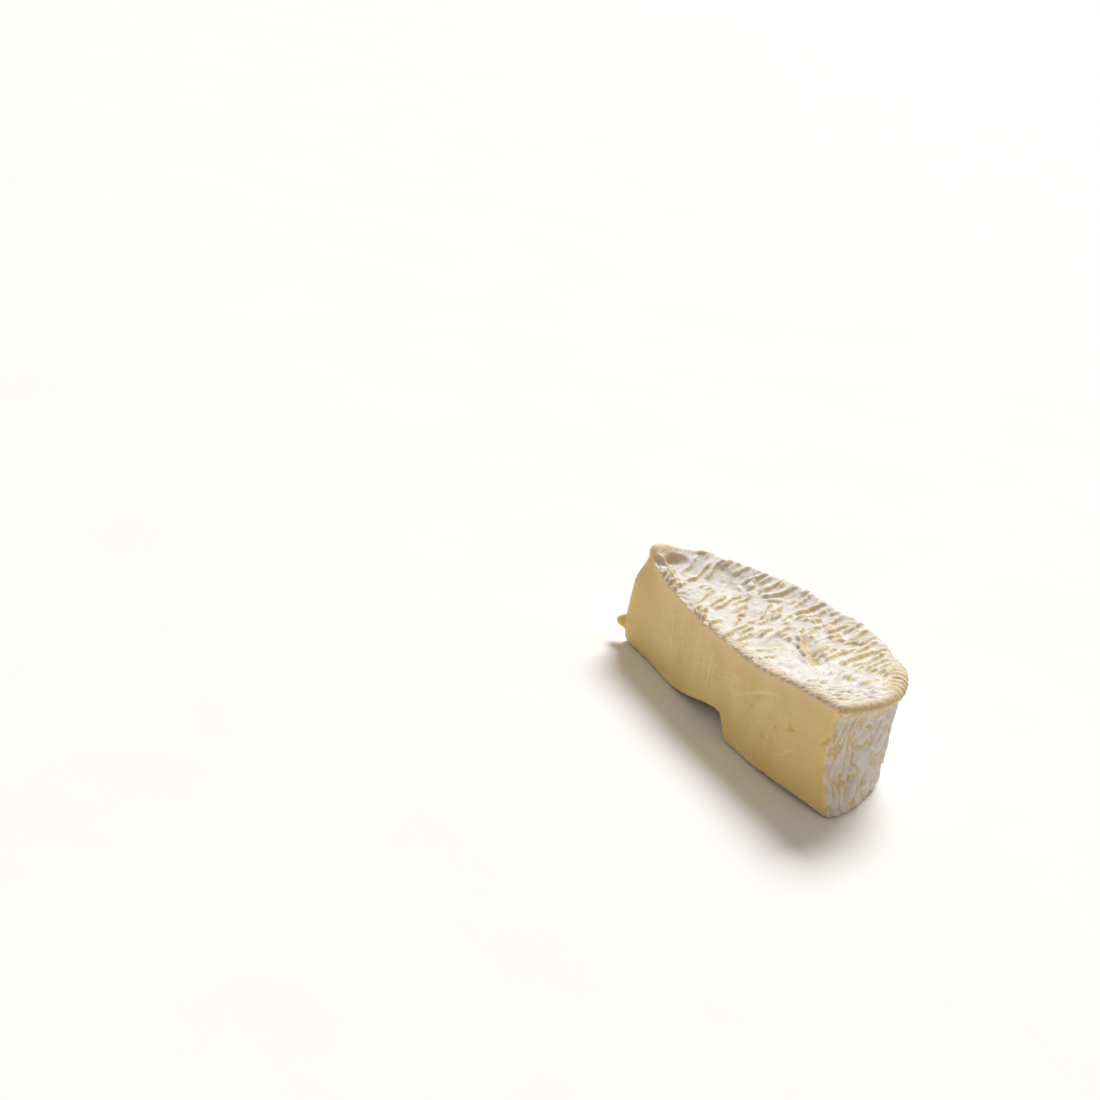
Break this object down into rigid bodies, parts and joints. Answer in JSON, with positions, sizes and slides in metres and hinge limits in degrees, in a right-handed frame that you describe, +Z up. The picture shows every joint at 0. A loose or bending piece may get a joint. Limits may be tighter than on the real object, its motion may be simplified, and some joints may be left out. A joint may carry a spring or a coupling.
{
  "type": "camembert half",
  "caption": "Half of a soft ripened cheese wheel with a white mould rind, cut upright to show its pale paste, resting on its flat underside.",
  "frame": {"origin": "on the flat underside, 20 mm behind the middle of the cut", "axes": "+X along the cut, +Y from the cut into the cheese, +Z up"},
  "size_m": [0.1116, 0.0521, 0.0329],
  "materials": {
    "cheese": "white downy mould rind worn tan along its ridges, and a smooth waxy pale yellow paste on the cut"
  },
  "bodies": {
    "root": {"cheese_half": "cheese"}
  },
  "joints": []
}
